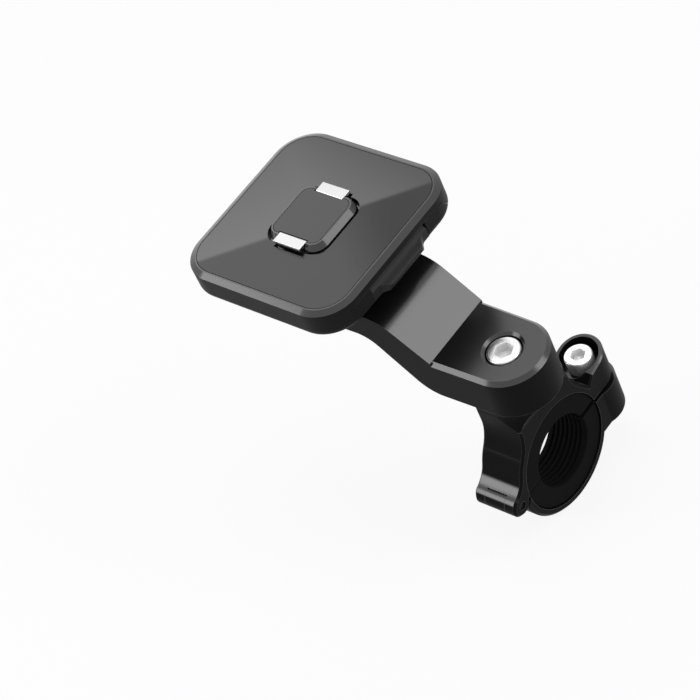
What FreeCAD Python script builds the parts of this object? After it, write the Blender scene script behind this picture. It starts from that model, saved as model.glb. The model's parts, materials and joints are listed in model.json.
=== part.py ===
"""Bicycle phone mount: a square magnetic latch head on an S-shaped arm, which
swivels on a hinged two-jaw handlebar clamp.

Millimetres. The origin is the centre of the clamp's bore. +X runs along the
handlebar to the rider's right, +Y points forward and +Z up, along the pivot
bolt. The head stands to the left of the clamp, above the bar.
"""
import FreeCAD, Part
import math
import os
from FreeCAD import Vector

# Handlebar clamp
BAR_DIA = 22.2             # 7/8 inch handlebar
LINER_WALL = 4.7           # liner, from the bar to the jaws
LINER_WIDTH = 14.0         # along the bar
FLANGE_HEIGHT = 1.7        # end lips of the liner, above its outer face
FLANGE_WIDTH = 1.2
JAW_WIDTH = 15.0           # along the bar
JAW_WALL = 3.95            # ring of the jaws, outside the liner
SEAT_GAP = 0.05            # between pieces that are pressed or glued together
GAP_LOW = 2.2              # top of the lower jaw's lug
GAP_HIGH = 3.8             # bottom of the upper jaw's lug
BACK_GAP = 0.15            # half the split beside the hinge
JAW_BEVEL = 0.8            # round both faces of the jaws and hinge

# Hinge of the jaws
HINGE_OUT = 1.5            # hinge axis, outside the ring's face
KNUCKLE_RADIUS = 3.65
KNUCKLE_WIDTH = 7.2        # middle knuckle and its slot
KNUCKLE_GAP = 0.1          # on each side of the middle knuckle
KNUCKLE_CLEAR = 0.12       # round a knuckle in the other jaw
WEB_ABOVE = 8.0            # fillet between the hinge's barrel and the ring
WEB_BELOW = 2.5
PIN_RADIUS = 1.25
PIN_FIT = 0.03
PIN_SHORT = 0.5            # pin, inside each end of the hinge

# Clamp screw, M5 socket cap
LUG_OUT = 4.1              # screw axis, outside the ring's face
LUG_TOP = 12.85            # at the screw's axis
LUG_LEAN = 0.2             # rise of the top, away from the ring
LUG_BOTTOM = -10.8
LUG_EDGE = 1.4             # rounding of the lower lug
LUG_BEVEL = 0.45           # round the upper lug's top
LUG_EXTRA = 0.7            # lower lug's round end, outside the upper one
LUG_DIP = 4.0              # where the top begins to fall towards the ring
LUG_FALL = math.radians(46.0)
M5_RADIUS = 2.5
M5_HEAD_RADIUS = 4.25
M5_HEAD_HEIGHT = 5.0
M5_HEX = 4.0
M5_LENGTH = 16.0
CLAMP_HEAD_TOP = 13.3
SCREW_HOLE_CLEAR = 0.55    # round the shank in the upper lug
COUNTERBORE_CLEAR = 2.0    # round the head
THREAD_FIT = 0.05
HEAD_SEAT = 0.05           # under a screw head that turns on its seat

# Neck and swivel
NECK_RADIUS = 11.9
NECK_LIP = 1.2             # straight band under the washer
NECK_FLARE = 5.0           # height over which the side towards +X curves outwards
NECK_FILLET = 14.0         # between the neck and the ring, front and back
NECK_CORNER = 7.7          # curve that takes the corners off below the lip
NECK_SPARE = 0.05          # of the square form, outside the round one
NECK_TOP = 27.7
WASHER_THICK = 0.4
WASHER_RADIUS = 12.1
M6_RADIUS = 3.0
M6_HEAD_RADIUS = 5.0
M6_HEAD_HEIGHT = 6.0
M6_HEX = 5.0
M6_LENGTH = 16.0
PIVOT_FIT = 0.08           # arm round the pivot bolt
PIVOT_BORE_CLEAR = 0.6     # arm round the bolt's head
PIVOT_BEVEL = 0.8
HEAD_SUNK = 0.5            # bolt head below the arm's face

# Arm
ARM_FACE = 42.2            # flat round the pivot bolt
ARM_CREASE_X = -17.0       # where the flat meets the slope
ARM_SLOPE = math.radians(40.5)
ARM_SHELF = 54.3           # top of the arm under the head
ARM_SHELF_ROUND = 14.0
ARM_UNDER_SHELF = 45.2
ARM_UNDER_SLOPE = math.radians(46.0)
ARM_UNDER_X = -17.0        # end of the flat underside
ARM_UNDER_TOP_ROUND = 10.0
ARM_UNDER_LOW_ROUND = 12.0
ARM_END_X = 1.3            # centre of the rounded pivot end
ARM_END_RADIUS = 12.5
ARM_HEAD_RADIUS = 13.5     # rounded end under the head
ARM_CHAMFER = 1.2          # round the pivot face
ARM_EDGE = 0.8
BOSS_STEP = 1.9            # post under the head, inside the arm's round end
BOSS_FILLET = 1.5

# Head
HEAD_X = -57.2             # centre of the head
PAD_TOP = 73.5
HEAD_HALF = 30.0
HEAD_CORNER = 11.6
HEAD_DEPTH = 9.7
RIM_DROP = 1.0             # bevel round the pad
RIM_BEVEL = 1.75
RIM_FLAT = 0.45
HEAD_EDGE = 2.5            # rounding of the bottom edge
SKIRT_WALL = 2.5
ROOF_THICK = 1.8           # under the pad
PAD_THICK = 1.5
PAD_SEAM = 0.2
FLOOR_THICK = 1.8
COVER_EDGE = 1.2           # height of the cover's outer edge
COVER_SEAM = 0.2
TRIM_TOP = 3.15            # raised side of the cover, below the pad's top
TRIM_PAST = 6.0            # raised side, past the button's window, before it falls
TRIM_FALL = 8.0
TRIM_INSIDE = 12.0         # the raised side is only in the outer wall, past this
COVER_LIP = 1.4            # height of the cover's inner lip
COVER_LIP_WALL = 1.1

# Latch pedestal on top of the head
PEDESTAL_TOP = 2.0         # above the pad
PEDESTAL_HALF = 9.45
PEDESTAL_FOOT = 10.4
PEDESTAL_CORNER = 3.4
GROOVE_WIDTH = 0.9         # between the pedestal and the pad
CAP_THICK = 0.8
CAP_RIM = 0.5
CAP_SEAM = 0.18
CAP_NOTCH = 0.4            # between the cap and a latch

# Latches: each slides inwards and down along a 45 degree guide
LATCH_HALF = 5.0
LATCH_INNER = 8.6          # inner edge of its top
LATCH_OUTER = 12.0         # outer edge of its top
LATCH_LIP = 0.9
LATCH_UNDERCUT = 1.3       # underside, at the stem
LATCH_STEM = 2.3           # width of the stem, level
LATCH_CLEAR = 0.2
LATCH_SLOT = 0.5           # pad's slot, past the top of a latch
LATCH_RETRACT = 1.8        # inwards, and as far down
FOOT_TOP = 3.4             # below the pad's top
FOOT_THICK = 1.0
FOOT_INNER = 2.2
FOOT_OUTER = 5.5

# Release slide and button
BUTTON_TRAVEL = 3.0
TOOTH_LENGTH = 4.0
TOOTH_TIP = 8.2
TOOTH_STARTS = (-5.0, 0.5)
TOOTH_GAP = 0.05
RAIL_INNER = 8.4
RAIL_OUTER = 10.4
RAIL_END = -7.5
SLIDE_TOP = 3.5
SLIDE_BOTTOM = 6.5
BRIDGE_WALL = 2.4
BRIDGE_INSIDE = 3.1        # bridge, inside the head's wall
SLIDE_CLEAR = 0.15         # between the slide and the ribs that guide it
RIB_WALL = 1.2
RIB_HEIGHT = 1.0           # beside the rails, above their underside
BUTTON_HALF = 13.0         # half the window in the cover's wall
BUTTON_CLEAR = 0.15
BUTTON_TOP = 3.3           # below the pad's top
BUTTON_BOTTOM = 8.4
BUTTON_BULGE = 2.3         # finger ledge, outside the wall
BUTTON_SCOOP = 1.0
BULGE_HALF = 6.4
BULGE_BLEND = 4.4
BUTTON_FLANGE = 1.4        # lips behind the wall
BUTTON_FLANGE_THICK = 1.8

# Anchor plate, screws, magnets and latch springs
PLATE_THICK = 1.2
PLATE_HALF_X = 13.0
PLATE_HALF_Y = 8.0
M4_RADIUS = 2.0
M4_HEAD_RADIUS = 3.5
M4_HEAD_HEIGHT = 4.0
M4_HEX = 3.0
M4_CLEAR = 0.2
M4_OUT = 8.5               # screws, from the head's centre
COLLAR_RADIUS = 3.0
COLLAR_HEIGHT = 1.6
SCREW_INSIDE = 5.5         # cover screws, inside the head's wall
SCREW_RADIUS = 1.25
SCREW_HEAD_RADIUS = 2.2
SCREW_HEAD_HEIGHT = 1.3
SCREW_HEX = 1.5
SCREW_LENGTH = 5.4
SCREW_SUNK = 0.1
POST_RADIUS = 2.4
COVER_POST_HEIGHT = 1.2
MAGNET_APART = 5.5         # magnets, inside the cover screws
MAGNET_CLEAR = 0.65        # between a magnet's collar and the slide's rails
MAGNET_RADIUS = 4.5
MAGNET_THICK = 2.0
MAGNET_RIB = 0.95
COIL_RADIUS = 1.15
COIL_Y = 3.0               # springs, from the head's middle
COIL_CLEAR = 0.6           # round a spring in the anchor plate
WIRE_WIDTH = 0.35
WIRE_HEIGHT = 0.3
COILS = 3

# Values worked out from those above
BAR_RADIUS = BAR_DIA / 2
LINER_RADIUS = BAR_RADIUS + LINER_WALL
JAW_BORE = LINER_RADIUS + SEAT_GAP
JAW_RADIUS = JAW_BORE + JAW_WALL
FLANGE_RADIUS = LINER_RADIUS + FLANGE_HEIGHT
HALF_JAW = JAW_WIDTH / 2
HALF_LINER = LINER_WIDTH / 2
HINGE_Y = -(JAW_RADIUS + HINGE_OUT)
LUG_Y = JAW_RADIUS + LUG_OUT
CLAMP_SEAT = CLAMP_HEAD_TOP - M5_HEAD_HEIGHT
ARM_BASE = NECK_TOP + WASHER_THICK
PIVOT_HEAD_TOP = ARM_FACE - HEAD_SUNK
PIVOT_SEAT = PIVOT_HEAD_TOP - M6_HEAD_HEIGHT
HEAD_BOTTOM = PAD_TOP - HEAD_DEPTH
ROOF_TOP = PAD_TOP - PAD_THICK
CEILING = ROOF_TOP - ROOF_THICK
FLOOR = HEAD_BOTTOM + FLOOR_THICK
INNER_HALF = HEAD_HALF - SKIRT_WALL
INNER_CORNER = HEAD_CORNER - SKIRT_WALL
PAD_HALF = HEAD_HALF - RIM_BEVEL - RIM_FLAT
PAD_CORNER = HEAD_CORNER - RIM_BEVEL - RIM_FLAT
PLATE_TOP = FLOOR + PLATE_THICK
BOSS_RADIUS = ARM_HEAD_RADIUS - BOSS_STEP
TRIM_HALF = BUTTON_HALF + TRIM_PAST
BRIDGE_OUTER = INNER_HALF - BRIDGE_INSIDE
BRIDGE_INNER = BRIDGE_OUTER - BRIDGE_WALL
SCREW_OUT = INNER_HALF - SCREW_INSIDE
MAGNET_Y = max(SCREW_OUT - MAGNET_APART, RAIL_OUTER + MAGNET_CLEAR + MAGNET_RIB + MAGNET_RADIUS)
MAGNET_X = SCREW_OUT - math.sqrt(2 * MAGNET_APART ** 2 - (SCREW_OUT - MAGNET_Y) ** 2)
NECK_SIDE = NECK_RADIUS + NECK_SPARE
NECK_BEND = NECK_SIDE + NECK_FILLET
NECK_UP = math.sqrt((JAW_RADIUS + NECK_FILLET) ** 2 - NECK_BEND ** 2)
FLARE_START = NECK_TOP - NECK_LIP - NECK_FLARE
REACH = 200.0              # longer than the mount, for cutting tools


def box(x0, x1, y0, y1, z0, z1):
    """Block between two corners."""
    return Part.makeBox(x1 - x0, y1 - y0, z1 - z0, Vector(x0, y0, z0))


def upright(radius, z0, z1, x=0.0, y=0.0):
    """Cylinder along Z."""
    return Part.makeCylinder(radius, z1 - z0, Vector(x, y, z0))


def along_bar(radius, x0, x1, y=0.0, z=0.0):
    """Cylinder along X."""
    return Part.makeCylinder(radius, x1 - x0, Vector(x0, y, z), Vector(1, 0, 0))


def line(a, b):
    """Straight edge between two points."""
    return Part.LineSegment(a, b).toShape()


def through(a, middle, b):
    """Arc from a to b through a middle point."""
    return Part.Arc(a, middle, b).toShape()


def rounded_wire(half_x, half_y, corner, x, y, z):
    """Rectangle with rounded corners, centred on x, y at height z."""
    flat_x = half_x - corner
    flat_y = half_y - corner
    edges = []
    for turn in range(4):
        a = turn * math.pi / 2
        sx = (1, -1, -1, 1)[turn]
        sy = (1, 1, -1, -1)[turn]
        centre = Vector(x + sx * flat_x, y + sy * flat_y, z)
        points = [centre + Vector(corner * math.cos(a + f * math.pi / 2),
                                  corner * math.sin(a + f * math.pi / 2), 0)
                  for f in (0, 0.5, 1)]
        if edges:
            edges.append(line(last, points[0]))
        else:
            first = points[0]
        edges.append(Part.Arc(*points).toShape())
        last = points[2]
    edges.append(line(last, first))
    return Part.Wire(edges)


def rounded_block(half_x, half_y, corner, z0, z1, x=HEAD_X, y=0.0):
    """Upright prism on a rounded rectangle."""
    face = Part.Face(rounded_wire(half_x, half_y, corner, x, y, z0))
    return face.extrude(Vector(0, 0, z1 - z0))


def frustum(low, high):
    """Straight-sided solid between two rounded rectangles, each given as
    half_x, half_y, corner, z about the head's centre."""
    wires = [rounded_wire(hx, hy, corner, HEAD_X, 0, z) for hx, hy, corner, z in (low, high)]
    return Part.makeLoft(wires, True, True)


def polygon(points, depth):
    """Prism on a closed outline of points."""
    return Part.Face(Part.makePolygon(points + points[:1])).extrude(depth)


def across_bar(outline, x0, x1):
    """Prism along X on an outline of (y, z) points."""
    return polygon([Vector(x0, y, z) for y, z in outline], Vector(x1 - x0, 0, 0))


def fuse(first, *others):
    """One solid from touching ones, with no edges left inside its faces."""
    return first.fuse(list(others)).removeSplitter()


def mirror_y(shape):
    return shape.mirror(Vector(0, 0, 0), Vector(0, 1, 0))


def four_corners(along, across):
    """Places of the four like features round the head's centre."""
    return [(HEAD_X + sx * along, sy * across) for sx in (-1, 1) for sy in (-1, 1)]


def socket_screw(radius, length, head_radius, head_height, hex_across, x, y, seat, up=1):
    """Socket cap screw with its head's underside at seat; up is 1 or -1."""
    corner = hex_across / math.sqrt(3)
    edge = 0.1 * head_radius
    head = Part.makeCylinder(head_radius, head_height)
    rim = [e for e in head.Edges if e.BoundBox.ZMin > head_height - 0.01]
    head = head.makeChamfer(edge, rim)
    socket = polygon([Vector(corner * math.cos(k * math.pi / 3), corner * math.sin(k * math.pi / 3),
                             head_height * 0.45) for k in range(6)], Vector(0, 0, head_height))
    shank = Part.makeCylinder(radius, length, Vector(0, 0, -length))
    screw = fuse(head, shank).cut(socket)
    if up < 0:
        screw.rotate(Vector(0, 0, 0), Vector(1, 0, 0), 180)
    screw.translate(Vector(x, y, seat))
    return screw


# Handlebar clamp

def above_split(inner, outer):
    """Everything on the upper jaw's side of the split, between two radii."""
    outline = [(-outer, BACK_GAP), (0, BACK_GAP), (0, GAP_HIGH), (outer, GAP_HIGH),
               (outer, outer), (-outer, outer)]
    return across_bar(outline, -REACH, REACH).cut(along_bar(inner, -REACH, REACH))


def below_split(inner, outer):
    """Everything on the lower jaw's side of the split, between two radii."""
    outline = [(-outer, -BACK_GAP), (0, -BACK_GAP), (0, GAP_LOW), (outer, GAP_LOW),
               (outer, -outer), (-outer, -outer)]
    return across_bar(outline, -REACH, REACH).cut(along_bar(inner, -REACH, REACH))


def bevelled(form, keep):
    """Form with a bevel along the edges of both side faces that keep allows."""
    edges = [e for e in form.Edges if abs(abs(e.CenterOfMass.x) - HALF_JAW) < 0.01 and keep(e)]
    return form.makeChamfer(JAW_BEVEL, edges)


def jaw_ring():
    """Whole ring of the jaws with bevelled ends, still without its bore."""
    return bevelled(along_bar(JAW_RADIUS, -HALF_JAW, HALF_JAW), lambda e: True)


def liner_room():
    """Space that the liner fills in the jaws, with its two end flanges."""
    room = along_bar(JAW_BORE, -REACH, REACH)
    flange = FLANGE_RADIUS + SEAT_GAP
    start = HALF_LINER - FLANGE_WIDTH - SEAT_GAP
    return room.fuse([along_bar(flange, start, REACH), along_bar(flange, -REACH, -start)])


def lug_plan(radius):
    """Tall block over a lug: straight sides and a round end."""
    inner = JAW_BORE - JAW_WALL
    step = math.sqrt(radius ** 2 - HALF_JAW ** 2)
    corners = [Vector(x, y, -REACH) for x, y in ((-HALF_JAW, inner), (-HALF_JAW, LUG_Y - step),
                                                 (HALF_JAW, LUG_Y - step), (HALF_JAW, inner))]
    end = Part.Arc(corners[1], Vector(0, LUG_Y + radius, -REACH), corners[2]).toShape()
    edges = [line(corners[0], corners[1]), end, line(corners[2], corners[3]),
             line(corners[3], corners[0])]
    return Part.Face(Part.Wire(edges)).extrude(Vector(0, 0, 2 * REACH))


def upper_lug():
    """Boss of the clamp screw: a leaning top that falls towards the ring, with
    one bevel round the top and down both sides of the fall."""
    inner = JAW_BORE - JAW_WALL
    crest = LUG_Y - LUG_DIP
    ridge = LUG_TOP - LUG_DIP * LUG_LEAN
    low = ridge - (crest - inner) * math.tan(LUG_FALL)
    far = LUG_TOP + REACH * LUG_LEAN
    side = across_bar([(inner, min(low, GAP_HIGH) - 1), (LUG_Y + REACH, GAP_HIGH - 1),
                       (LUG_Y + REACH, far), (crest, ridge), (inner, low)], -REACH, REACH)
    boss = side.common(lug_plan(HALF_JAW)).removeSplitter()

    def on_rim(edge):
        middle = edge.valueAt((edge.FirstParameter + edge.LastParameter) / 2)
        if middle.y > crest:
            height = LUG_TOP + (middle.y - LUG_Y) * LUG_LEAN
        else:
            height = ridge - (crest - middle.y) * math.tan(LUG_FALL)
        across = abs(edge.BoundBox.XLength - 2 * HALF_JAW) < 0.01 and edge.BoundBox.YLength < 0.01
        return abs(middle.z - height) < 0.001 and not across and middle.y > inner + 0.01

    return boss.makeChamfer(LUG_BEVEL, [e for e in boss.Edges if on_rim(e)])


def lower_lug():
    """Lug that holds the clamp screw's thread, rounded below."""
    block = lug_plan(HALF_JAW + LUG_EXTRA)
    block = block.common(box(-REACH, REACH, -REACH, REACH, LUG_BOTTOM, GAP_LOW))
    under = [e for e in block.Edges
             if e.BoundBox.ZMax < LUG_BOTTOM + 0.01 and e.CenterOfMass.y > JAW_BORE]
    return block.makeFillet(LUG_EDGE, under)


def fillet_arc(centre, radius, start, end, x):
    """Arc in the plane at x, about centre (y, z), between the directions of
    two points."""
    def towards(point):
        dy = point[0] - centre[0]
        dz = point[1] - centre[1]
        size = math.hypot(dy, dz)
        return dy / size, dz / size

    a = towards(start)
    b = towards(end)
    size = math.hypot(a[0] + b[0], a[1] + b[1])
    middle = ((a[0] + b[0]) / size, (a[1] + b[1]) / size)
    points = [Vector(x, centre[0] + radius * d[0], centre[1] + radius * d[1])
              for d in (a, middle, b)]
    return Part.Arc(*points).toShape(), points[0], points[2]


def web_arc(side, x):
    """Fillet arc between the ring and the hinge's barrel, above (1) or below
    (-1), with its ends on the ring and on the barrel."""
    fillet = WEB_ABOVE if side > 0 else WEB_BELOW
    reach = -HINGE_Y
    far = JAW_RADIUS + fillet
    near = KNUCKLE_RADIUS + fillet
    along = (reach ** 2 + far ** 2 - near ** 2) / (2 * reach)
    high = side * math.sqrt(far ** 2 - along ** 2)
    return fillet_arc((-along, high), fillet, (0, 0), (HINGE_Y, 0), x)


def jaw_face():
    """Front view of the upper jaw: the ring, the neck with a fillet on each
    side, and the hinge's barrel with its webs."""
    top_arc, neck_top, neck_foot = fillet_arc((NECK_BEND, NECK_UP), NECK_FILLET, (NECK_SIDE, NECK_UP),
                                              (0, 0), 0)
    middle = top_arc.valueAt((top_arc.FirstParameter + top_arc.LastParameter) / 2)

    def other(point):
        return Vector(0, -point.y, point.z)

    upper_web, ring_up, barrel_up = web_arc(1, 0)
    lower_web, ring_down, barrel_down = web_arc(-1, 0)
    roof = [Vector(0, NECK_SIDE, NECK_TOP), Vector(0, -NECK_SIDE, NECK_TOP)]
    high = math.atan2(neck_foot.z, -neck_foot.y)
    low = math.atan2(ring_up.z, ring_up.y)
    between = (high + low) / 2
    back = Vector(0, JAW_RADIUS * math.cos(between), JAW_RADIUS * math.sin(between))
    edges = [line(roof[0], neck_top), top_arc,
             through(neck_foot, Vector(0, JAW_RADIUS * math.cos(-0.7), JAW_RADIUS * math.sin(-0.7)),
                     ring_down),
             lower_web, through(barrel_down, Vector(0, HINGE_Y - KNUCKLE_RADIUS, 0), barrel_up),
             upper_web, through(ring_up, back, other(neck_foot)),
             through(other(neck_foot), other(middle), other(neck_top)),
             line(other(neck_top), roof[1]), line(roof[1], roof[0])]
    return Part.Face(Part.Wire(edges))


def neck_flank():
    """What lies within the neck's side towards +X, which flares out under its lip."""
    rise = NECK_SIDE - HALF_JAW
    radius = (NECK_FLARE ** 2 + rise ** 2) / (2 * rise)
    turn = math.asin(NECK_FLARE / radius)
    flare = [Vector(HALF_JAW + radius - radius * math.cos(a), -REACH, FLARE_START + radius * math.sin(a))
             for a in (0, turn / 2, turn)]
    corners = [Vector(NECK_SIDE, -REACH, NECK_TOP), Vector(0, -REACH, NECK_TOP), Vector(0, -REACH, 0),
               Vector(HALF_JAW, -REACH, 0)]
    edges = [through(*flare), line(flare[2], corners[0])]
    edges += [line(a, b) for a, b in zip(corners, corners[1:])]
    edges.append(line(corners[3], flare[0]))
    return Part.Face(Part.Wire(edges)).extrude(Vector(0, 2 * REACH, 0))


def neck_round():
    """Form that takes the neck's corners off under the arm: turned towards +X,
    and straight towards -X."""
    r = NECK_RADIUS
    lip = NECK_TOP - NECK_LIP
    wide = r + NECK_CORNER
    low = lip - NECK_CORNER
    slant = NECK_CORNER * math.cos(math.pi / 4)
    bend = through(Vector(0, r, lip), Vector(0, wide - slant, lip - slant), Vector(0, wide, low))
    above = [Vector(0, y, z) for y, z in ((0, 0), (0, NECK_TOP), (r, NECK_TOP), (r, lip))]
    below = [Vector(0, y, z) for y, z in ((wide, low), (REACH, low), (REACH, 0), (0, 0))]
    edges = [line(a, b) for a, b in zip(above, above[1:])]
    edges.append(bend)
    edges += [line(a, b) for a, b in zip(below, below[1:])]
    half = Part.Face(Part.Wire(edges))
    turned = half.revolve(Vector(0, 0, 0), Vector(0, 0, 1), 360)
    straight = half.extrude(Vector(-REACH, 0, 0))
    towards = box(0, REACH, -REACH, REACH, 0, NECK_TOP)
    return turned.common(towards).fuse([straight, mirror_y(straight)]).removeSplitter()


def neck_and_ring():
    """Upper jaw's main form: as wide as the ring below, and round at the top on
    the side towards +X."""
    flat = jaw_face()
    tall = flat.copy()
    flat.translate(Vector(-HALF_JAW, 0, 0))
    band = flat.extrude(Vector(JAW_WIDTH, 0, 0))
    band = bevelled(band, lambda e: e.BoundBox.ZMax < NECK_TOP + 0.01 and e.BoundBox.ZLength > 0.01)
    low = band.common(box(-REACH, REACH, -REACH, REACH, BACK_GAP, FLARE_START))
    left = band.common(box(-REACH, 0, -REACH, REACH, FLARE_START, NECK_TOP))
    right = tall.extrude(Vector(REACH, 0, 0)).common(neck_flank())
    right = right.common(box(0, REACH, -REACH, REACH, FLARE_START, NECK_TOP))
    high = left.fuse(right).common(neck_round())
    return fuse(low, high)


def knuckle(x0, x1):
    """Barrel of one knuckle of the hinge."""
    return along_bar(KNUCKLE_RADIUS, x0, x1, HINGE_Y, 0)


def knuckle_room(x0, x1):
    """Space that a knuckle of the other jaw turns in."""
    return along_bar(KNUCKLE_RADIUS + KNUCKLE_CLEAR, x0, x1, HINGE_Y, 0)


def web(x0, x1, side):
    """Fillet between the ring and the middle knuckle, above (1) or below (-1)."""
    arc, first, last = web_arc(side, x0)
    inside = Vector(x0, -JAW_BORE - 1, side * BACK_GAP)
    hinge = Vector(x0, HINGE_Y, side * BACK_GAP)
    edges = [arc, line(last, hinge), line(hinge, inside), line(inside, first)]
    return Part.Face(Part.Wire(edges)).extrude(Vector(x1 - x0, 0, 0))


def upper_jaw():
    """Upper half of the ring, the neck, the screw's boss and two outer knuckles."""
    half_slot = KNUCKLE_WIDTH / 2
    body = neck_and_ring().fuse(upper_lug())
    body = body.common(above_split(JAW_BORE - 1, REACH))
    body = body.fuse(bevelled(knuckle(-HALF_JAW, HALF_JAW), lambda e: True))
    body = body.cut([knuckle_room(-half_slot, half_slot), liner_room()])
    body = body.cut(along_bar(PIN_RADIUS + SEAT_GAP, -REACH, REACH, HINGE_Y, 0))
    body = body.cut(upright(M5_HEAD_RADIUS + COUNTERBORE_CLEAR, CLAMP_SEAT - HEAD_SEAT, REACH, 0, LUG_Y))
    body = body.cut(upright(M5_RADIUS + SCREW_HOLE_CLEAR, 0, REACH, 0, LUG_Y))
    body = body.cut(upright(M6_RADIUS + THREAD_FIT, PIVOT_SEAT - M6_LENGTH - 1, REACH))
    return body.removeSplitter()


def lower_jaw():
    """Lower half of the ring, the threaded lug and the middle knuckle."""
    half = KNUCKLE_WIDTH / 2 - KNUCKLE_GAP
    body = jaw_ring().fuse(lower_lug())
    body = body.common(below_split(JAW_BORE - 1, REACH))
    body = body.cut([knuckle_room(half, REACH), knuckle_room(-REACH, -half)])
    body = body.fuse([knuckle(-half, half), web(-half, half, -1)])
    body = body.cut(liner_room())
    body = body.cut(along_bar(PIN_RADIUS + PIN_FIT, -REACH, REACH, HINGE_Y, 0))
    body = body.cut(upright(M5_RADIUS + THREAD_FIT, -REACH, REACH, 0, LUG_Y))
    return body.removeSplitter()


def liner():
    """Whole liner: a sleeve round the bar with a flange at each end."""
    sleeve = along_bar(LINER_RADIUS, -HALF_LINER, HALF_LINER)
    flanges = [along_bar(FLANGE_RADIUS, HALF_LINER - FLANGE_WIDTH, HALF_LINER),
               along_bar(FLANGE_RADIUS, -HALF_LINER, FLANGE_WIDTH - HALF_LINER)]
    return fuse(sleeve, *flanges)


def liner_upper():
    return liner().common(above_split(BAR_RADIUS, REACH))


def liner_lower():
    return liner().common(below_split(BAR_RADIUS, REACH))


def hinge_pin():
    return along_bar(PIN_RADIUS, PIN_SHORT - HALF_JAW, HALF_JAW - PIN_SHORT, HINGE_Y, 0)


def clamp_bolt():
    return socket_screw(M5_RADIUS, M5_LENGTH, M5_HEAD_RADIUS, M5_HEAD_HEIGHT, M5_HEX,
                        0, LUG_Y, CLAMP_SEAT)


# Swivel and arm

def swivel_washer():
    disc = upright(WASHER_RADIUS, NECK_TOP, ARM_BASE)
    return disc.cut(upright(M6_RADIUS + PIVOT_FIT, 0, REACH))


def pivot_bolt():
    return socket_screw(M6_RADIUS, M6_LENGTH, M6_HEAD_RADIUS, M6_HEAD_HEIGHT, M6_HEX,
                        0, 0, PIVOT_SEAT)


def arm_profile():
    """Side view of the arm: a flat foot, a crease, a slope and a rounded shelf
    above, and an S-curve below."""
    far = HEAD_X - 2 * ARM_HEAD_RADIUS
    near = ARM_END_X + 2 * ARM_END_RADIUS

    def arc(x, z, radius, turns, centre_up):
        """Arc through points at three slopes about (x, z)."""
        return Part.Arc(*[Vector(x + radius * math.sin(a), 0, z - centre_up * radius * math.cos(a))
                          for a in turns]).toShape()

    shelf_drop = ARM_SHELF_ROUND * (1 - math.cos(ARM_SLOPE))
    slope_top = Vector(ARM_CREASE_X - (ARM_SHELF - shelf_drop - ARM_FACE) / math.tan(ARM_SLOPE),
                       0, ARM_SHELF - shelf_drop)
    shelf_x = slope_top.x - ARM_SHELF_ROUND * math.sin(ARM_SLOPE)
    top_arc = arc(shelf_x, ARM_SHELF - ARM_SHELF_ROUND, ARM_SHELF_ROUND,
                  (ARM_SLOPE, ARM_SLOPE / 2, 0), -1)

    steep = ARM_UNDER_SLOPE
    low_x = ARM_UNDER_X
    low_start = Vector(low_x - ARM_UNDER_LOW_ROUND * math.sin(steep), 0,
                       ARM_BASE + ARM_UNDER_LOW_ROUND * (1 - math.cos(steep)))
    top_end_z = ARM_UNDER_SHELF - ARM_UNDER_TOP_ROUND * (1 - math.cos(steep))
    top_end = Vector(low_start.x - (top_end_z - low_start.z) / math.tan(steep), 0, top_end_z)
    under_x = top_end.x - ARM_UNDER_TOP_ROUND * math.sin(steep)
    low_arc = arc(low_x, ARM_BASE + ARM_UNDER_LOW_ROUND, ARM_UNDER_LOW_ROUND,
                  (-steep, -steep / 2, 0), 1)
    high_arc = arc(under_x, ARM_UNDER_SHELF - ARM_UNDER_TOP_ROUND, ARM_UNDER_TOP_ROUND,
                   (0, steep / 2, steep), -1)

    crease = Vector(ARM_CREASE_X, 0, ARM_FACE)
    corners = [Vector(far, 0, ARM_UNDER_SHELF), Vector(under_x, 0, ARM_UNDER_SHELF),
               Vector(low_x, 0, ARM_BASE), Vector(near, 0, ARM_BASE), Vector(near, 0, ARM_FACE),
               Vector(shelf_x, 0, ARM_SHELF), Vector(far, 0, ARM_SHELF)]
    edges = [line(corners[0], corners[1]), high_arc, line(top_end, low_start), low_arc,
             line(corners[2], corners[3]), line(corners[3], corners[4]), line(corners[4], crease),
             line(crease, slope_top), top_arc, line(corners[5], corners[6]),
             line(corners[6], corners[0])]
    face = Part.Face(Part.Wire(edges))
    face.translate(Vector(0, -REACH / 2, 0))
    return face.extrude(Vector(0, REACH, 0))


def arm_outline(inset, z):
    """Plan view of the arm: two round ends joined by tangent sides."""
    end_r = ARM_END_RADIUS - inset
    head_r = ARM_HEAD_RADIUS - inset
    nx = -(head_r - end_r) / (ARM_END_X - HEAD_X)
    ny = math.sqrt(1 - nx * nx)
    near = [Vector(ARM_END_X + end_r * nx, side * end_r * ny, z) for side in (-1, 1)]
    far = [Vector(HEAD_X + head_r * nx, side * head_r * ny, z) for side in (-1, 1)]
    edges = [Part.Arc(near[0], Vector(ARM_END_X + end_r, 0, z), near[1]).toShape(),
             line(near[1], far[1]),
             Part.Arc(far[1], Vector(HEAD_X - head_r, 0, z), far[0]).toShape(),
             line(far[0], near[0])]
    return Part.Wire(edges)


def arm_bevel():
    """What the bevel round the pivot face takes away."""
    low = ARM_FACE - ARM_CHAMFER
    waste = box(ARM_CREASE_X, REACH, -REACH, REACH, low, ARM_FACE + 1)
    cone = Part.makeLoft([arm_outline(0, low), arm_outline(ARM_CHAMFER + 1, ARM_FACE + 1)], True, True)
    return waste.cut(cone)


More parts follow.
